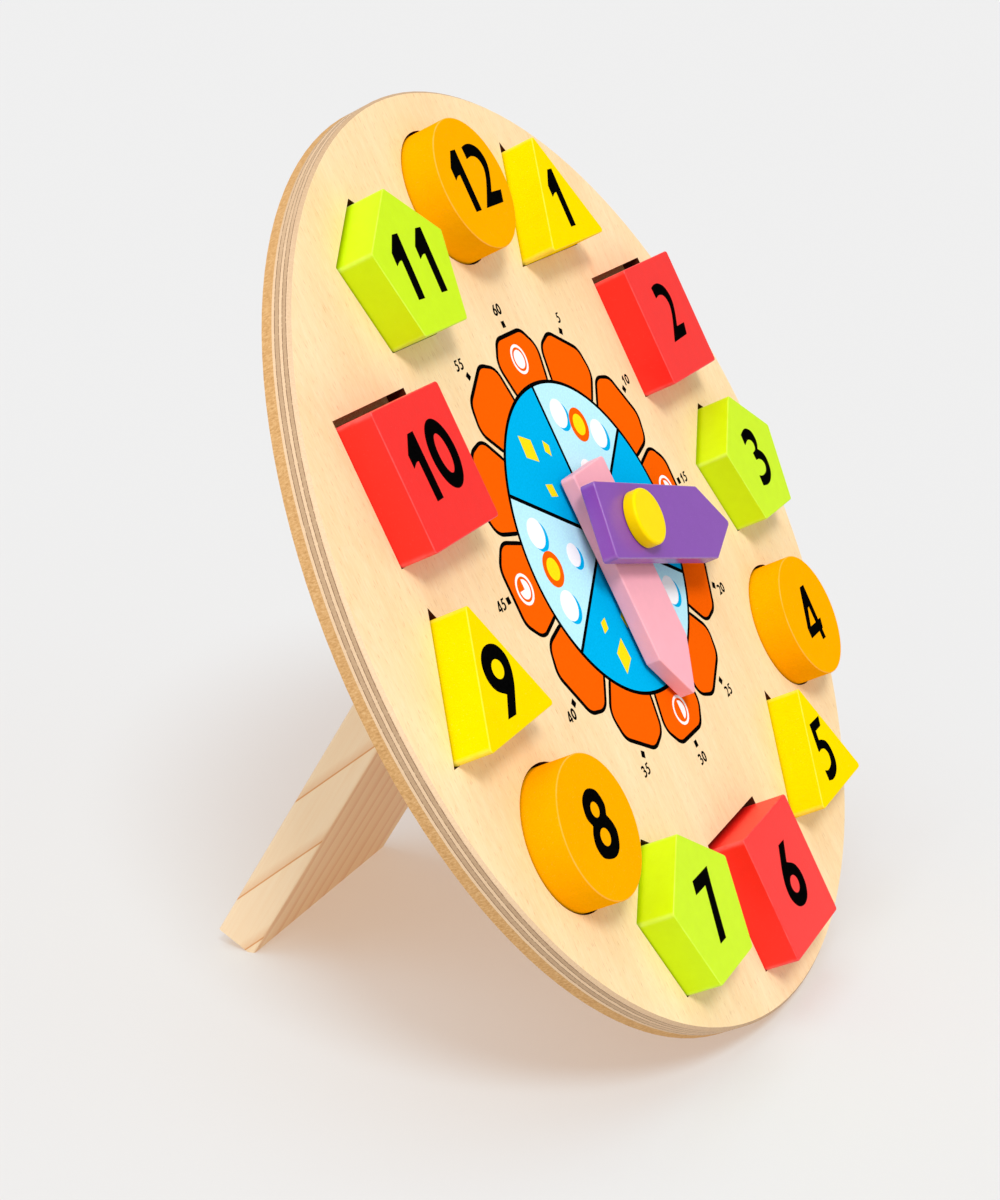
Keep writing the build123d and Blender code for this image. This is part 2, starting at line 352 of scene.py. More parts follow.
class Shader:
    """Small helper round a material's node tree, with a Principled BSDF ready."""

    def __init__(self, name):
        """New material of that name."""
        self.material = bpy.data.materials.new(name)
        self.material.use_nodes = True
        self.tree = self.material.node_tree
        self.bsdf = self.tree.nodes["Principled BSDF"]

    def node(self, kind, inputs=None, **settings):
        """New node. Each input is a constant or another node's output."""
        node = self.tree.nodes.new(kind)
        for key, value in settings.items():
            setattr(node, key, value)
        for key, value in (inputs or {}).items():
            self.put(node.inputs[key], value)
        return node

    def put(self, socket, value):
        """Link an output into a socket, or set the socket to a constant."""
        if isinstance(value, bpy.types.NodeSocket):
            self.tree.links.new(value, socket)
        else:
            socket.default_value = value

    def set(self, **inputs):
        """Inputs of the Principled BSDF, with _ for the spaces in their names."""
        for key, value in inputs.items():
            self.put(self.bsdf.inputs[key.replace("_", " ")], value)

    def bump(self, height, distance, strength=1.0):
        """Relief, with its depth in metres."""
        node = self.node("ShaderNodeBump", {"Height": height, "Distance": distance, "Strength": strength})
        self.put(self.bsdf.inputs["Normal"], node.outputs[0])

    def board_place(self):
        """Position in the board's frame, in metres."""
        place = self.node("ShaderNodeTexCoord").outputs["Object"]
        turn = TO_BOARD.to_euler()
        mapping = self.node("ShaderNodeMapping", {
            "Vector": place, "Location": TO_BOARD.translation, "Rotation": turn})
        return mapping.outputs["Vector"]

    def normal(self):
        """Direction that the surface faces, in the part's frame."""
        return self.node("ShaderNodeTexCoord").outputs["Normal"]

    def sideways(self):
        """1 where the surface faces 3 or 9 o'clock, 0 where it faces 12 or 6 o'clock or straight out."""
        across = self.separate(self.normal())[0]
        return self.times(across, across)

    def vector(self, operation, *vectors, output="Vector"):
        """Vector maths."""
        node = self.node("ShaderNodeVectorMath", dict(enumerate(vectors)), operation=operation)
        return node.outputs[output]

    def separate(self, vector):
        """The three parts of a vector."""
        return self.node("ShaderNodeSeparateXYZ", {0: vector}).outputs

    def combine(self, x, y, z):
        """Vector from its three parts."""
        return self.node("ShaderNodeCombineXYZ", {0: x, 1: y, 2: z}).outputs[0]

    def noise(self, place, scale, detail=3.0, roughness=0.5):
        """Noise from 0 to 1, mostly near 0.5."""
        return self.node("ShaderNodeTexNoise", {
            "Vector": place, "Scale": scale, "Detail": detail, "Roughness": roughness}).outputs["Fac"]

    def grain(self, place, scales, detail=3.0, roughness=0.5):
        """Noise with a scale of its own along each axis: a low one draws it out into lines."""
        return self.noise(self.vector("MULTIPLY", place, scales), 1.0, detail, roughness)

    def math(self, operation, *values):
        """Maths on single numbers."""
        return self.node("ShaderNodeMath", dict(enumerate(values)), operation=operation).outputs[0]

    def times(self, a, b):
        """Product."""
        return self.math("MULTIPLY", a, b)

    def plus(self, a, b):
        """Sum."""
        return self.math("ADD", a, b)

    def between(self, value, low, high):
        """0 at low, 1 at high."""
        return self.node("ShaderNodeMapRange", {0: value, 1: low, 2: high, 3: 0.0, 4: 1.0}).outputs[0]

    def ramp(self, value, stops, interpolation="LINEAR"):
        """Colour that runs through (position, colour) stops."""
        node = self.node("ShaderNodeValToRGB", {"Fac": value})
        node.color_ramp.interpolation = interpolation
        elements = node.color_ramp.elements
        while len(elements) < len(stops):
            elements.new(0.5)
        for element, (position, colour) in zip(elements, stops):
            element.position = position
            element.color = colour
        return node.outputs["Color"]

    def mix(self, factor, a, b):
        """Colour a where the factor is 0, b where it is 1."""
        node = self.node("ShaderNodeMix", data_type="RGBA")
        for key, value in (("Factor", factor), ("A", a), ("B", b)):
            sockets = [s for s in node.inputs if s.name == key and s.enabled]
            self.put(sockets[0], value)
        return [s for s in node.outputs if s.enabled][0]

    def tint(self, tone, mask, amount, colour):
        """Lay a colour over a tone: as strongly as the amount where the mask is 1, not where it is 0."""
        return self.mix(self.times(mask, amount), tone, colour)


# The scale of a noise is per metre, so 1000 gives specks of about 1 mm. Depths of relief are metres.
MOTTLE_SHADE = 0.965     # brightness of the paint's darker patches
SPECKLE_AND_HIGHLIGHT_PALER = 0.35        # how far towards white the speckle and the painted edge highlight go
EDGE_HIGHLIGHT = 0.2          # painted highlight: how much of that shows along an edge
SPECKLE_WEAR = 0.08      # and in the speckle


def paint(name, rgb, sheen, roughness=0.4):
    """Sprayed paint on wood: a faint orange peel, a little speckle, and a painted highlight along its
    edges.
    """
    s = Shader(name)
    place = s.board_place()
    base = linear(rgb)
    pale = paler(base, SPECKLE_AND_HIGHLIGHT_PALER)
    mottle = s.noise(place, 260.0, 3.0, 0.6)
    speckle = s.noise(place, 1800.0, 2.0, 0.6)
    peel = s.noise(place, 1300.0, 2.0, 0.5)
    tone = s.mix(s.between(mottle, 0.3, 0.7), darker(base, MOTTLE_SHADE), base)
    tone = s.tint(tone, s.between(speckle, 0.62, 0.8), SPECKLE_WEAR, pale)
    edge = s.node("ShaderNodeAttribute", attribute_name="edge").outputs["Fac"]
    # painted highlight along the rims and corners, broken up by the mottle
    wear_and_highlight = s.times(edge, s.between(mottle, 0.15, 0.6))
    tone = s.tint(tone, wear_and_highlight, EDGE_HIGHLIGHT, pale)
    s.set(Base_Color=tone, Roughness=roughness, Specular_IOR_Level=sheen)
    s.bump(peel, 0.00006, 0.5)
    return s.material


INK_WEAR = 1.15          # brighter where it is worn
INK_HAZE = 0.0015        # and no longer quite black


def ink(name, rgb):
    """Screen-printed ink, slightly broken by the surface under it."""
    s = Shader(name)
    speck = s.noise(s.board_place(), 1400.0, 3.0, 0.6)
    base = linear(rgb)
    wear_and_highlight = tuple(min(1.0, c * INK_WEAR + INK_HAZE) for c in base[:3]) + (1.0,)
    s.set(Base_Color=s.mix(s.between(speck, 0.35, 0.8), base, wear_and_highlight), Roughness=0.55,
          Specular_IOR_Level=0.0)
    s.bump(speck, 0.00003, 0.4)
    return s.material


PLY_DEPTHS = (1.15, 2.4, 3.5, 4.85, 5.8)     # mm from the face to the back of each veneer
GLUE_LINE = 0.2                              # mm
FACE_SKIN = 0.02                             # mm under the face, within which all is face veneer
SOCKET_RING_REACH = 138.0                    # mm: cut walls inside this radius are sockets
GRAIN_WANDER = 0.02                          # m that the face's upright grain strays sideways


def face_veneer(s, place):
    """(colour, relief) of birch with an upright grain: clouds, streaks, flecks and pores."""
    u, v, w = s.separate(place)
    warp = s.grain(place, (16.0, 5.0, 16.0), 2.0)
    wavy = s.combine(s.plus(u, s.times(warp, GRAIN_WANDER)), v, w)
    cloud = s.grain(wavy, (42.0, 16.0, 42.0), 3.0, 0.55)
    streak = s.grain(wavy, (420.0, 45.0, 420.0), 4.0, 0.6)
    fleck = s.grain(wavy, (1700.0, 210.0, 1700.0), 3.0, 0.6)
    pore = s.grain(wavy, (2300.0, 330.0, 2300.0), 1.0, 0.5)
    face = s.ramp(cloud, [(0.3, linear((255, 228, 181))), (0.5, linear((253, 222, 172))),
                          (0.72, linear((249, 213, 160)))])
    face = s.tint(face, s.between(streak, 0.4, 0.75), 0.45, linear((242, 202, 150)))
    face = s.tint(face, s.between(fleck, 0.45, 0.8), 0.45, linear((255, 238, 205)))
    face = s.tint(face, s.between(pore, 0.63, 0.74), 0.4, linear((205, 150, 98)))
    return face, fleck


def ply_bands(s, depth, bands):
    """1 inside the given (start, end) depths in mm, else 0."""
    stops = [(0.0, grey(0))]
    for start, end in bands:
        stops += [(start / PLY_DEPTHS[-1], grey(1)), (end / PLY_DEPTHS[-1], grey(0))]
    return s.ramp(depth, stops, "CONSTANT")


def rim_plies(s, place, fibre):
    """Colour of the rim: plies with end grain and long grain in turn, and broken glue lines."""
    sideways = s.sideways()
    end_grain = s.mix(fibre, linear((176, 142, 108)), linear((216, 184, 148)))
    long_grain = s.mix(fibre, linear((220, 184, 143)), linear((247, 217, 181)))
    crossed = s.mix(s.between(sideways, 0.05, 0.5), long_grain, end_grain)
    upright = s.mix(s.between(sideways, 0.5, 0.02), long_grain, end_grain)
    depth = s.times(s.separate(place)[2], -1 / (PLY_DEPTHS[-1] * MM))
    is_crossed = ply_bands(s, depth, [PLY_DEPTHS[0:2], PLY_DEPTHS[2:4]])
    glue = ply_bands(s, depth, [(d - GLUE_LINE / 2, d + GLUE_LINE / 2) for d in PLY_DEPTHS[:-1]])
    saw = s.grain(place, (1300.0, 1300.0, 300.0), 3.0, 0.6)
    whole_glue = s.times(glue, s.between(saw, 0.3, 0.5))
    return s.tint(s.mix(is_crossed, upright, crossed), whole_glue, 0.85, linear((112, 70, 46)))


def plywood(name):
    """Birch plywood: veneer on the face, plies along the rim, dark brown walls in the sockets."""
    s = Shader(name)
    place = s.board_place()
    u, v, w = s.separate(place)
    face, fleck = face_veneer(s, place)
    fibre = s.grain(place, (1900.0, 1900.0, 1100.0), 3.0, 0.7)
    # dark brown on the cut walls inside the sockets
    dark_socket_walls = s.mix(fibre, linear((58, 22, 10)), linear((104, 48, 24)))
    radius = s.vector("LENGTH", s.combine(u, v, 0.0), output="Value")
    is_socket = s.math("LESS_THAN", radius, SOCKET_RING_REACH * MM)
    cut = s.mix(is_socket, rim_plies(s, place, fibre), dark_socket_walls)
    below_face = s.math("LESS_THAN", w, -FACE_SKIN * MM)
    facing_out = s.vector("DOT_PRODUCT", s.normal(), tuple(AXIS_W), output="Value")
    is_flat = s.math("GREATER_THAN", facing_out, 0.98)
    is_cut = s.times(below_face, s.math("SUBTRACT", 1.0, is_flat))
    s.set(Base_Color=s.mix(is_cut, face, cut), Roughness=0.55, Specular_IOR_Level=0.12)
    s.bump(s.plus(s.times(fleck, 0.5), s.times(fibre, is_cut)), 0.00012, 0.5)
    return s.material


def fibre_board(name):
    """Tan fibre board with a felted surface."""
    s = Shader(name)
    place = s.board_place()
    felt = s.grain(place, (2200.0, 2200.0, 1000.0), 4.0, 0.6)
    cloud = s.noise(place, 60.0, 3.0, 0.6)
    tone = s.ramp(felt, [(0.3, linear((188, 142, 88))), (0.5, linear((214, 166, 108))),
                         (0.7, linear((232, 192, 138)))])
    tone = s.tint(tone, cloud, 0.3, linear((200, 152, 98)))
    s.set(Base_Color=tone, Roughness=0.8, Specular_IOR_Level=0.1)
    s.bump(felt, 0.00016, 0.4)
    return s.material


GRAIN_SHADE = 0.82       # brightness of the darkest grain


def plain_wood(name, rgb):
    """Small turned or cut pieces of bare birch."""
    s = Shader(name)
    grain = s.grain(s.board_place(), (900.0, 900.0, 120.0), 4.0, 0.6)
    base = linear(rgb)
    s.set(Base_Color=s.mix(grain, darker(base, GRAIN_SHADE), base), Roughness=0.6)
    s.bump(grain, 0.0001, 0.4)
    return s.material


LEG_ANGLE = 32.1                 # degrees between the leg and the square to the board
BROAD_SPACING = 0.0115           # m between the growth lines that run down the leg's broad faces
BROAD_WANDER = 0.014             # m that they stray
BROAD_STRENGTH = 0.32            # of the late wood's colour in them
SIDE_SPACING = 0.0412            # m between those that slant over its narrow sides
SIDE_START = 0.0272              # m down the leg to the first of them
SIDE_SLANT = 2.75                # down the leg for each step through its thickness
SIDE_WANDER = 0.003
SIDE_STRENGTH = 0.85


def leg_place(s):
    """Position across the leg, down it and through its thickness, in metres."""
    u, v, w = s.separate(s.board_place())
    angle = radians(LEG_ANGLE)
    down = s.plus(s.times(v, -sin(angle)), s.times(w, -cos(angle)))
    through = s.plus(s.times(v, cos(angle)), s.times(w, -sin(angle)))
    return s.combine(u, down, through)


def broad_lines(s, across, wander):
    """Growth lines down the broad faces: each darkens slowly and ends sharply."""
    ring = s.math("DIVIDE", s.plus(across, s.times(wander, BROAD_WANDER)), BROAD_SPACING)
    return s.ramp(s.math("FRACT", ring), [(0.0, grey(0)), (0.5, grey(0.1)), (0.86, grey(1)),
                                          (0.93, grey(0.9)), (1.0, grey(0))])


def side_lines(s, down, through, wander):
    """Thin growth lines that slant over the narrow sides, each with a faint band above it."""
    slant = s.math("SUBTRACT", down, s.times(through, SIDE_SLANT))
    slant = s.plus(slant, s.times(wander, SIDE_WANDER))
    slant = s.math("DIVIDE", s.math("SUBTRACT", slant, SIDE_START), SIDE_SPACING)
    return s.ramp(s.math("FRACT", slant), [(0.0, grey(0)), (0.8, grey(0)), (0.965, grey(0.4)),
                                           (0.975, grey(1)), (0.995, grey(1)), (1.0, grey(0))])


def pine(name):
    """Planed pine leg: growth lines run down its broad faces and slant over its narrow sides."""
    s = Shader(name)
    place = leg_place(s)
    across, down, through = s.separate(place)
    wander = s.grain(place, (60.0, 9.0, 30.0), 2.0)
    fine = s.grain(place, (1200.0, 30.0, 1200.0), 4.0, 0.6)
    broad = s.times(broad_lines(s, across, wander), BROAD_STRENGTH)
    side = s.times(side_lines(s, down, through, wander), SIDE_STRENGTH)
    late = s.mix(s.between(s.sideways(), 0.3, 0.6), broad, side)
    early = s.mix(fine, linear((250, 216, 172)), linear((255, 232, 196)))
    s.set(Base_Color=s.mix(late, early, linear((220, 142, 62))), Roughness=0.6)
    s.bump(s.plus(fine, s.times(late, 0.6)), 0.0001, 0.45)
    return s.material


MATERIALS = {
    "ply": plywood("birch_ply"),
    "hardboard": fibre_board("hardboard"),
    "birch": plain_wood("bare_birch", (240, 208, 160)),
    "pine": pine("planed_pine"),
    "red": paint("red_paint", (250, 28, 18), 0.42),
    "green": paint("green_paint", (206, 242, 0), 0.2),
    "orange": paint("orange_paint", (255, 172, 0), 0.0),
    "yellow": paint("yellow_paint", (255, 221, 0), 0.0),
    "pink": paint("pink_paint", (255, 178, 190), 0.15),
    "purple": paint("purple_paint", (134, 70, 176), 0.5, 0.24),
    "knob": paint("knob_paint", (255, 222, 0), 0.04, 0.3),
    "black_ink": ink("black_ink", (3, 3, 3)),
    "orange_ink": ink("orange_ink", (246, 95, 2)),
    "blue_ink": ink("blue_ink", (0, 176, 231)),
    "pale_ink": ink("pale_ink", (186, 236, 252)),
    "white_ink": ink("white_ink", (252, 252, 252)),
    "yellow_ink": ink("yellow_ink", (250, 222, 20)),
}

# ---- numerals ------------------------------------------------------------------------------------
# Outlines in mm above the baseline. An anchor is (x, y, C for a corner or S for a smooth point).
C = True
S = False
NUMERAL_HEIGHT = 18.5
ONE = [[(0, 10.0, C), (1.4, 10.7, S), (2.5, 11.1, S), (3.5, 11.1, C), (3.3, 0, C), (6.8, 0, C),
        (7.2, 18.3, C), (4.2, 18.3, C), (0.1, 13.7, C)]]
TWO = [[(0, 0, C), (11.3, 0, C), (13.2, 3.6, C), (7.0, 3.8, C), (9.6, 7.0, S), (11.6, 10.2, S),
        (12.2, 13.2, S), (10.9, 16.4, S), (7.9, 18.3, S), (4.6, 18.8, S), (1.4, 18.3, C),
        (1.4, 14.7, C), (4.6, 15.1, S), (7.5, 14.2, S), (8.8, 11.8, S), (8.1, 9.1, S), (5.6, 5.8, S)]]
THREE = [[(0.5, 0.6, C), (4.3, 0, S), (7.8, 0.7, S), (10.8, 2.9, S), (12.0, 6.4, S), (11.1, 9.3, S),
          (8.4, 11.4, C), (9.8, 12.8, S), (10.3, 14.8, S), (9.6, 17.2, S), (7.2, 18.9, S),
          (4.4, 19.3, S), (0.7, 18.4, C), (0.4, 14.8, C), (4.0, 15.7, S), (6.4, 14.9, S),
          (7.2, 13.4, S), (6.4, 11.8, S), (3.6, 11.2, C), (3.8, 8.7, C), (6.1, 8.5, S), (8.2, 7.3, S),
          (8.7, 5.6, S), (7.4, 4.0, S), (5.0, 3.4, S), (2.8, 3.5, S), (0.8, 4.1, C)]]
FOUR = [[(8.0, 0, C), (10.8, 0, C), (10.8, 2.9, C), (11.6, 3.0, C), (13.0, 6.2, C), (10.8, 6.2, C),
         (10.9, 18.3, C), (7.4, 18.3, C), (0.2, 6.2, C), (0.1, 2.7, C), (8.0, 2.9, C)],
        [(3.1, 6.0, C), (8.0, 6.0, C), (8.0, 11.5, C), (6.8, 11.3, C)]]
FIVE = [[(0.2, 0.7, C), (3.6, 0, S), (7.6, 0.8, S), (10.5, 3.3, S), (11.2, 7.1, S), (10.2, 10.2, S),
         (8.1, 11.7, S), (5.5, 12.6, C), (6.2, 15.4, C), (11.0, 15.5, C), (12.5, 18.3, C),
         (3.8, 18.4, C), (1.8, 9.7, C), (4.6, 9.8, S), (6.8, 9.0, S), (7.9, 7.0, S), (7.0, 4.6, S),
         (4.9, 3.6, S), (2.5, 3.4, S), (0.4, 4.1, C)]]
SIX = [[(7.0, 18.8, C), (4.4, 15.4, S), (1.9, 12.0, S), (0.2, 8.2, S), (0.2, 4.5, S), (2.5, 1.3, S),
        (6.3, 0, S), (10.2, 0.8, S), (12.8, 3.7, S), (13.2, 7.7, S), (11.3, 11.1, S), (7.3, 13.3, C),
        (11.5, 18.8, C)]]
SEVEN = [[(1.3, 18.6, C), (0, 15.0, C), (7.0, 15.0, C), (1.2, 0, C), (5.4, 0, C), (10.4, 14.0, C),
          (12.3, 18.6, C)]]
EIGHT = [[(6.5, 0, S), (10.5, 1.1, S), (12.9, 4.5, S), (12.8, 7.4, S), (11.4, 10.2, C), (12.8, 13.0, S),
          (11.4, 17.2, S), (7.2, 19.0, S), (3.1, 17.4, S), (1.5, 13.4, S), (2.8, 10.3, C), (1.0, 8.4, S),
          (0, 5.4, S), (1.4, 1.9, S)]]
SIX_SIZE = (13.2, 18.8)
# Round forms: the middle's x and y, then the half width and half height.
ZERO_RIM = (6.55, 9.3, 6.55, 9.55)
ZERO_HOLE = (6.6, 9.35, 2.75, 5.45)
SIX_HOLE = (6.45, 6.7, 2.8, 2.6)
EIGHT_HOLES = ((7.2, 13.3, 2.1, 2.1), (6.4, 5.9, 2.5, 2.4))


def glyph(digit):
    """Loops of a digit: the outer outline, then its holes. A 9 is a 6 turned half round."""
    drawn = {"1": ONE, "2": TWO, "3": THREE, "4": FOUR, "5": FIVE, "6": SIX, "7": SEVEN, "8": EIGHT}
    if digit == "0":
        return [ellipse(*ZERO_RIM, steps=64), ellipse(*ZERO_HOLE)]
    if digit == "9":
        width, height = SIX_SIZE
        return [[(width - x, height - y) for x, y in loop] for loop in glyph("6")]
    loops = [smooth_outline(anchors) for anchors in drawn[digit]]
    if digit == "6":
        loops.append(ellipse(*SIX_HOLE))
    if digit == "8":
        loops += [ellipse(*hole) for hole in EIGHT_HOLES]
    return loops


DIGIT_ADVANCE = 13.2
ONE_BEARING = 3.0     # to the left of a 1


def number_glyphs(text, u, v, scale=1.0, turn=0.0, spacing=0.0, stretch=1.0):
    """Loops of each digit of a number centred on (u, v)."""
    digits = []
    for place, digit in enumerate(text):
        start = place * (DIGIT_ADVANCE + spacing) + (ONE_BEARING if digit == "1" else 0.0)
        digits.append([[(x + start, y) for x, y in loop] for loop in glyph(digit)])
    flat = [p for loops in digits for p in loops[0]]
    middle_x = (min(p[0] for p in flat) + max(p[0] for p in flat)) / 2
    middle_y = (min(p[1] for p in flat) + max(p[1] for p in flat)) / 2
    centred = [[[((x - middle_x) * stretch, y - middle_y) for x, y in loop] for loop in loops]
               for loops in digits]
    return [[moved(loop, u, v, turn, scale) for loop in loops] for loops in centred]


# ---- number blocks -------------------------------------------------------------------------------
SHAPES_IN_TURN = ("triangle", "square", "pentagon", "disc")     # of hours 1 to 4, and again
PAINT_OF_SHAPE = {"disc": "orange", "triangle": "yellow", "square": "red", "pentagon": "green"}
SIDES = {"triangle": 3, "pentagon": 5}
# How far each numeral sits right and up of the middle of its block, and its turn in degrees.
NUMERAL_PLACES = {
    1: (-0.9, 2.5, -1.0), 2: (0.7, 1.9, 2.5), 3: (1.6, 0.6, 0.5), 4: (-0.4, 0.0, -1.5),
    5: (-0.9, 2.0, -0.5), 6: (0.0, 0.2, -0.5), 7: (1.5, -0.2, -0.5), 8: (0.5, 0.5, -1.0),
    9: (0.3, 1.9, -3.0), 10: (0.9, 1.6, 2.0), 11: (-0.7, 0.5, -1.7), 12: (1.4, 1.7, 0.5),
}
NUMERAL_SCALE = 1.015
NUMERAL_STRETCH = 1.03                    # across, for a bolder stroke


def block_form(shape, low, high):
    """(outline, middle u, middle v) of a block that fills the CAD block's extents."""
    middle_u = (low.x + high.x) / 2
    if shape == "disc":
        middle_v = (low.y + high.y) / 2
        return circle(middle_u, middle_v, (high.x - low.x) / 2, DISC_STEPS), middle_u, middle_v
    if shape == "square":
        middle_v = (low.y + high.y) / 2
        corners = [(low.x, low.y), (high.x, low.y), (high.x, high.y), (low.x, high.y)]
        return rounded(corners, BLOCK_CORNER_RADIUS), middle_u, middle_v
    half_turn = pi / SIDES[shape]
    worn_off = BLOCK_CORNER_RADIUS * (1 / cos(half_turn) - 1)
    reach = (high.y - low.y + worn_off) / (1 + cos(half_turn))
    middle_v = low.y + reach * cos(half_turn)
    corners = [(middle_u + reach * sin(2 * half_turn * k), middle_v + reach * cos(2 * half_turn * k))
               for k in range(SIDES[shape])]
    return rounded(corners, BLOCK_CORNER_RADIUS), middle_u, middle_v


def add_block(hour):
    """Painted block with its numeral."""
    node = f"block_{hour:02d}"
    shape = SHAPES_IN_TURN[(hour - 1) % len(SHAPES_IN_TURN)]
    low, high = board_extents(node)
    outline, u, v = block_form(shape, low, high)
    mesh = slab_mesh(f"painted_{node}", [outline], low.z, high.z, BLOCK_EDGE_RADIUS)
    add_piece(mesh, MATERIALS[PAINT_OF_SHAPE[shape]], node, [node])
    shift_u, shift_v, turn = NUMERAL_PLACES[hour]
    glyphs = number_glyphs(str(hour), u + shift_u, v + shift_v, NUMERAL_SCALE, turn,
                           stretch=NUMERAL_STRETCH)
    inks = [slab_mesh("digit", loops, high.z + INK_BOTTOM, high.z + INK_TOP) for loops in glyphs]
    add_piece(join_meshes(f"numeral_{hour:02d}", inks), MATERIALS["black_ink"], node)


# ---- hands and peg -------------------------------------------------------------------------------
def add_hand(node, material):
    """Pointed, painted hand with its hole."""
    angle, shoulder, reach = HANDS[node]
    half = HAND_WIDTH / 2
    corners = [(-half, -HAND_TAIL), (half, -HAND_TAIL), (half, shoulder), (0, reach), (-half, shoulder)]
    outline = moved(rounded(corners, HAND_CORNER_RADIUS), PIVOT_RIGHT, PIVOT_UP, -angle)
    hole = circle(PIVOT_RIGHT, PIVOT_UP, PEG_HOLE_RADIUS, 48)
    low, high = board_extents(node)
    mesh = slab_mesh(f"painted_{node}", [outline, hole], low.z, high.z, HAND_EDGE_RADIUS)
    add_piece(mesh, MATERIALS[material], node, [node])


def add_peg():
    """Turned, painted knob on a bare stem."""
    low, high = board_extents("centre_peg")
    radius = (high.x - low.x) / 2
    bottom = board_extents("minute_hand")[1].z + KNOB_LIFT
    arc = [(radius - KNOB_ROUNDING * (1 - cos(a)), high.z - KNOB_ROUNDING * (1 - sin(a)))
           for a in (pi / 2 * k / BEND_STEPS for k in range(BEND_STEPS + 1))]
    knob = [(PEG_RADIUS, bottom), (radius - KNOB_UNDERSIDE_BEVEL, bottom),
            (radius, bottom + KNOB_UNDERSIDE_BEVEL)] + arc + [(radius / 2, high.z)]
    mesh = lathe_mesh("painted_knob", knob, PIVOT_RIGHT, PIVOT_UP)
    add_piece(mesh, MATERIALS["knob"], "board", ["centre_peg"])
    stem = [(PEG_RADIUS, low.z), (PEG_RADIUS, bottom + STEM_OVERLAP)]
    mesh = lathe_mesh("peg_stem", stem, PIVOT_RIGHT, PIVOT_UP)
    add_piece(mesh, MATERIALS["birch"], "board", ["centre_peg"])


# ---- dial print (mm from the pivot, degrees clockwise from 12) -----------------------------------
DIAL_RADIUS = 48.6
LINE = 1.3                       # width of the dark outlines
MARK_RADIUS = 67.2
MARK_SIZE = 2.0
NUMBER_RADIUS = 71.8
NUMBER_HEIGHT = 3.3
NUMBER_SCALE = NUMBER_HEIGHT / NUMERAL_HEIGHT
NUMBER_SPACING = 1.6             # between digits, before they are scaled
NUMBER_EXTRA_WEIGHT = 0.12       # each number is struck twice, this far apart
TAB_COUNT = 12
TAB_ROOT = 44.0
TAB_SHOULDER = 57.5
TAB_REACH = 63.4
TAB_ROOT_HALF = 9.6              # to either side
TAB_HALF = 13.6
TAB_TIP_HALF = 8.0
TAB_ROUNDING = 5.0
QUARTER_RADIUS = 56.2
QUARTER_RING = (4.6, 3.7)        # outer and inner radius
QUARTER_PIE = 2.9
SECTOR = 60
SECTOR_GAP = 0.65                # half the line between two sectors
SECTOR_INSET = 1.1               # off a sector's radius, because the gap moves it outwards
DIAMOND_WIDTH = 0.7              # of its height
DIAMONDS = ((37.5, 30, 11.0), (25.0, 19, 6.5), (31.0, 45, 5.5))     # radius, degrees, height
SPOTS = ((38.0, 13, 4.6), (38.0, 47, 4.6), (21.0, 30, 3.6))         # radius, degrees, size
SPOT_SHADE = (1.2, -1.3)         # right and up of the spot that casts it
ROUNDEL_RADIUS = 36.0
ROUNDEL_RING = 5.4               # radius of the ring's outside
ROUNDEL_MIDDLE = 3.4             # and of its middle


def dial_point(radius, clock_angle):
    """Point at a distance from the pivot, at an angle clockwise from 12."""
    a = radians(clock_angle)
    return PIVOT_RIGHT + radius * sin(a), PIVOT_UP + radius * cos(a)


def on_dial(outline, radius, clock_angle):
    """Place an upright outline on the dial, turned to point outwards."""
    u, v = dial_point(radius, clock_angle)
    return moved(outline, u, v, -clock_angle)


def add_print(name, parts, material, layer=0):
    """Ink parts on the face; each layer stands a little higher than the one under it."""
    top = INK_TOP + INK_LAYER * layer
    meshes = [slab_mesh("ink", loops, INK_BOTTOM, top) for loops in parts]
    add_piece(join_meshes(name, meshes), MATERIALS[material], "board")


def tab(grow=0.0):
    """Rounded tab that points up, measured from the pivot."""
    root, half, tip = TAB_ROOT_HALF + grow, TAB_HALF + grow, TAB_TIP_HALF + grow / 2
    corners = [(-root, TAB_ROOT), (root, TAB_ROOT), (half, TAB_SHOULDER), (tip, TAB_REACH + grow),
               (-tip, TAB_REACH + grow), (-half, TAB_SHOULDER)]
    return rounded(corners, TAB_ROUNDING + grow, BEND_STEPS)


def sector(radius, start, end, steps=20):
    """Slice of the dial between two clock angles."""
    return [dial_point(0, 0)] + [dial_point(radius, start + (end - start) * k / steps)
                                 for k in range(steps + 1)]


def pie(radius, share, steps=40):
    """Slice of a small disc, from its top and clockwise, as a share of the whole."""
    arc = [(radius * sin(2 * pi * share * k / steps), radius * cos(2 * pi * share * k / steps))
           for k in range(steps + 1)]
    return [(0.0, 0.0)] + arc


def diamond(height):
    """Upright diamond about the origin."""
    tall = height / 2
    wide = tall * DIAMOND_WIDTH
    return [(0, -tall), (wide, 0), (0, tall), (-wide, 0)]


def add_minute_marks():
    """Square mark and upright number at every fifth minute."""
    parts = []
    half = MARK_SIZE / 2
    square = [(-half, -half), (half, -half), (half, half), (-half, half)]
    for minute in range(0, 60, 5):
        angle = minute * 6
        parts.append([on_dial(square, MARK_RADIUS, angle)])
        u, v = dial_point(NUMBER_RADIUS, angle)
        for shift in (-NUMBER_EXTRA_WEIGHT / 2, NUMBER_EXTRA_WEIGHT / 2):
            parts += number_glyphs(str(minute or 60), u + shift, v, NUMBER_SCALE, spacing=NUMBER_SPACING)
    add_print("minute_marks", parts, "black_ink")


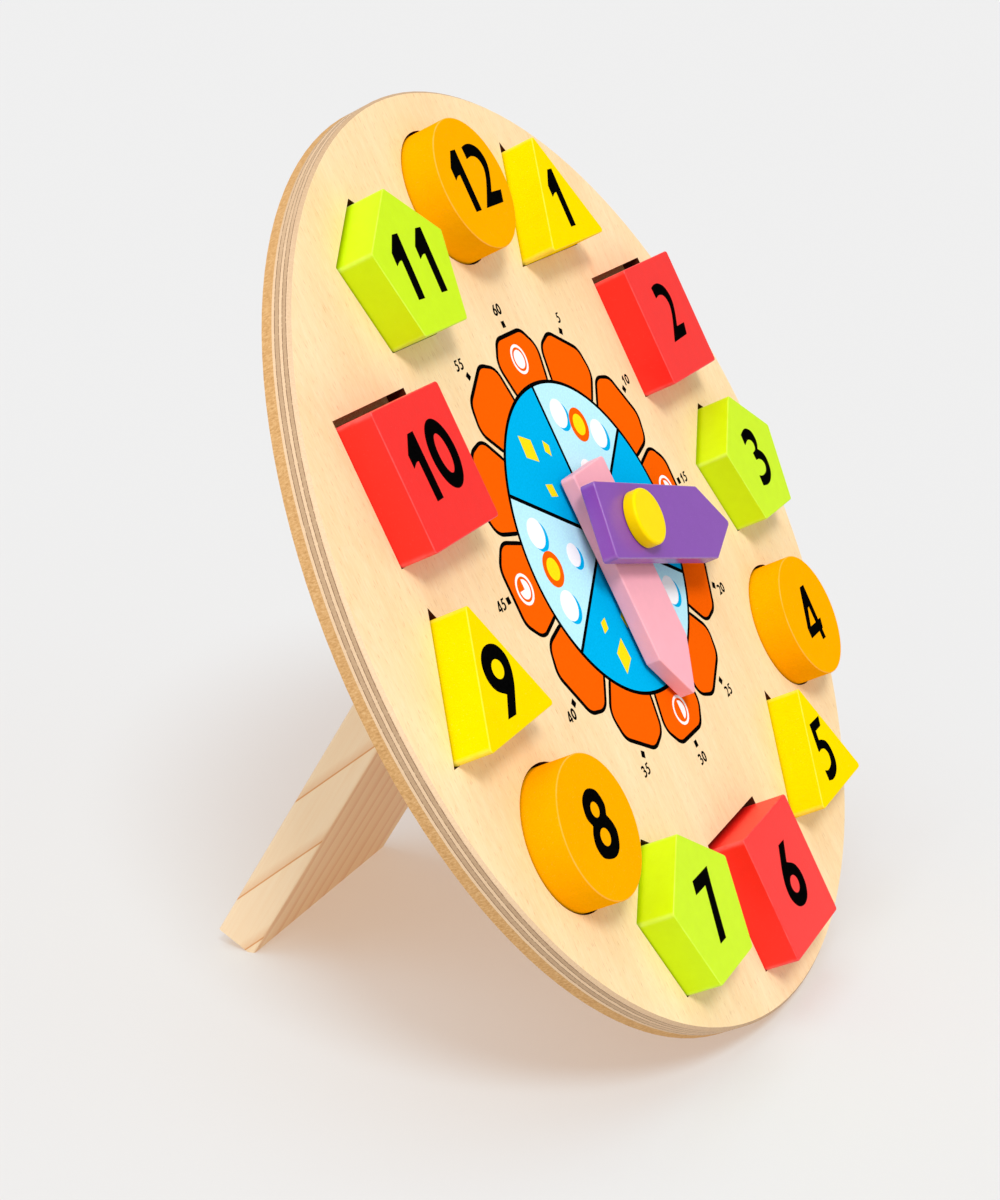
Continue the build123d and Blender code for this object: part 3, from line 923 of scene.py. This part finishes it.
def add_tabs():
    """Ring of twelve tabs; those at the quarters carry a pie that shows the share of the hour."""
    turns = [-360 / TAB_COUNT * k for k in range(TAB_COUNT)]
    add_print("tab_outlines", [[moved(tab(LINE), PIVOT_RIGHT, PIVOT_UP, turn)] for turn in turns],
              "black_ink")
    add_print("dial_tabs", [[moved(tab(), PIVOT_RIGHT, PIVOT_UP, turn)] for turn in turns],
              "orange_ink", 1)
    pies = []
    for quarter in range(4):
        u, v = dial_point(QUARTER_RADIUS, 90 * quarter)
        pies.append([circle(u, v, radius, 48) for radius in QUARTER_RING])
        share = moved(pie(QUARTER_PIE, quarter / 4), u, v) if quarter else circle(u, v, QUARTER_PIE, 48)
        pies.append([share])
    add_print("quarter_pies", pies, "white_ink", 2)


def add_sectors():
    """Ringed disc of six sectors, bright and pale in turn."""
    add_print("dial_ring", [[circle(*dial_point(0, 0), DIAL_RADIUS, DISC_STEPS)]], "black_ink", 2)
    reach = DIAL_RADIUS - LINE - SECTOR_INSET
    shift = SECTOR_GAP / sin(radians(SECTOR / 2))
    slices = []
    for start in range(0, 360, SECTOR):
        middle = radians(start + SECTOR / 2)
        slice_of_disc = sector(reach, start, start + SECTOR)
        slices.append([moved(slice_of_disc, shift * sin(middle), shift * cos(middle))])
    add_print("dial_pale", slices[0::2], "pale_ink", 3)
    add_print("dial_bright", slices[1::2], "blue_ink", 3)


def add_motifs():
    """Diamonds on the bright sectors; shaded spots and a roundel on the pale ones."""
    starts = range(0, 360, SECTOR)
    diamonds, shades, spots, rings, middles = [], [], [], [], []
    for start in starts[1::2]:
        for radius, turn, height in DIAMONDS:
            diamonds.append([on_dial(diamond(height), radius, start + turn)])
    for start in starts[0::2]:
        for radius, turn, size in SPOTS:
            u, v = dial_point(radius, start + turn)
            shades.append([circle(u + SPOT_SHADE[0], v + SPOT_SHADE[1], size, 40)])
            spots.append([circle(u, v, size, 40)])
        u, v = dial_point(ROUNDEL_RADIUS, start + SECTOR / 2)
        rings.append([circle(u, v, ROUNDEL_RING, 48)])
        middles.append([circle(u, v, ROUNDEL_MIDDLE, 40)])
    add_print("dial_diamonds", diamonds, "yellow_ink", 4)
    add_print("dial_spot_shades", shades, "blue_ink", 4)
    add_print("dial_spots", spots, "white_ink", 5)
    add_print("dial_roundels", rings, "orange_ink", 5)
    add_print("dial_roundel_middles", middles, "yellow_ink", 6)


# ---- the whole clock -----------------------------------------------------------------------------
# CAD nodes that are shown as they are, each with its material.
KEPT_NODES = {
    "front_panel": "ply",
    "backing_board": "hardboard",
    "stand_leg": "pine",
    "face_spacer": "birch",
    "hand_spacer": "birch",
    "leg_dowel_left": "birch",
    "leg_dowel_right": "birch",
}

for hour in range(1, 13):
    add_block(hour)
add_hand("hour_hand", "pink")
add_hand("minute_hand", "purple")
add_peg()
add_minute_marks()
add_tabs()
add_sectors()
add_motifs()

for node, material in KEPT_NODES.items():
    materials = frame["nodes"][node].data.materials
    materials.clear()
    materials.append(MATERIALS[material])


# ---- floor, backdrop, light and camera -----------------------------------------------------------
def floor_material():
    """Pale floor that gives off a painted warm glow of its own: its shade stays light and warm."""
    s = Shader("floor")
    white = linear(FLOOR_COLOUR)
    reflected = tuple((w - g) / FLOOR_LIGHT for w, g in zip(white, FLOOR_GLOW)) + (1.0,)
    s.set(Base_Color=reflected, Roughness=0.9, Specular_IOR_Level=0.0,
          Emission_Color=FLOOR_GLOW + (1.0,), Emission_Strength=1.0)
    return s.material


def add_floor():
    """Plain level floor."""
    half = FLOOR_SIZE / 2
    mesh = bpy.data.meshes.new("floor")
    mesh.from_pydata([(-half, -half, 0), (half, -half, 0), (half, half, 0), (-half, half, 0)], [],
                     [(0, 1, 2, 3)])
    floor = bpy.data.objects.new("floor", mesh)
    bpy.context.scene.collection.objects.link(floor)
    mesh.materials.append(floor_material())


def add_world():
    """Even light from all round; the camera sees the backdrop's own colour instead."""
    world = bpy.data.worlds.new("studio")
    world.use_nodes = True
    tree = world.node_tree
    light = tree.nodes["Background"]
    light.inputs["Color"].default_value = grey(1)
    light.inputs["Strength"].default_value = WORLD_STRENGTH
    shown = tree.nodes.new("ShaderNodeBackground")
    shown.inputs["Color"].default_value = linear(BACKDROP_COLOUR)
    shown.inputs["Strength"].default_value = 1.0
    mix = tree.nodes.new("ShaderNodeMixShader")
    path = tree.nodes.new("ShaderNodeLightPath")
    tree.links.new(path.outputs["Is Camera Ray"], mix.inputs[0])
    tree.links.new(light.outputs[0], mix.inputs[1])
    tree.links.new(shown.outputs[0], mix.inputs[2])
    tree.links.new(mix.outputs[0], tree.nodes["World Output"].inputs["Surface"])
    bpy.context.scene.world = world


def add_sun(name, strength, direction, softness):
    """Soft lamp that is far away in a direction."""
    lamp = bpy.data.lights.new(name, "SUN")
    lamp.energy = strength
    lamp.angle = radians(softness)
    sun = bpy.data.objects.new(name, lamp)
    sun.rotation_euler = Vector(direction).to_track_quat("Z", "Y").to_euler()
    bpy.context.scene.collection.objects.link(sun)


def add_camera():
    """Camera at the photograph's place, set from its right and up directions."""
    right = Vector(CAMERA_RIGHT).normalized()
    up = Vector(CAMERA_UP).normalized()
    turn = Matrix((right, up, right.cross(up))).transposed().to_4x4()
    lens = bpy.data.cameras.new("camera")
    lens.lens = LENS_MM
    lens.sensor_width = SENSOR_MM
    lens.clip_start = NEAREST_SEEN
    camera = bpy.data.objects.new("camera", lens)
    camera.matrix_world = Matrix.Translation(CAMERA_POSITION) @ turn
    bpy.context.scene.collection.objects.link(camera)
    bpy.context.scene.camera = camera


add_floor()
add_world()
for name, (strength, direction, softness) in LAMPS.items():
    add_sun(name, strength, direction, softness)
add_camera()
bpy.context.scene.view_settings.view_transform = "Standard"
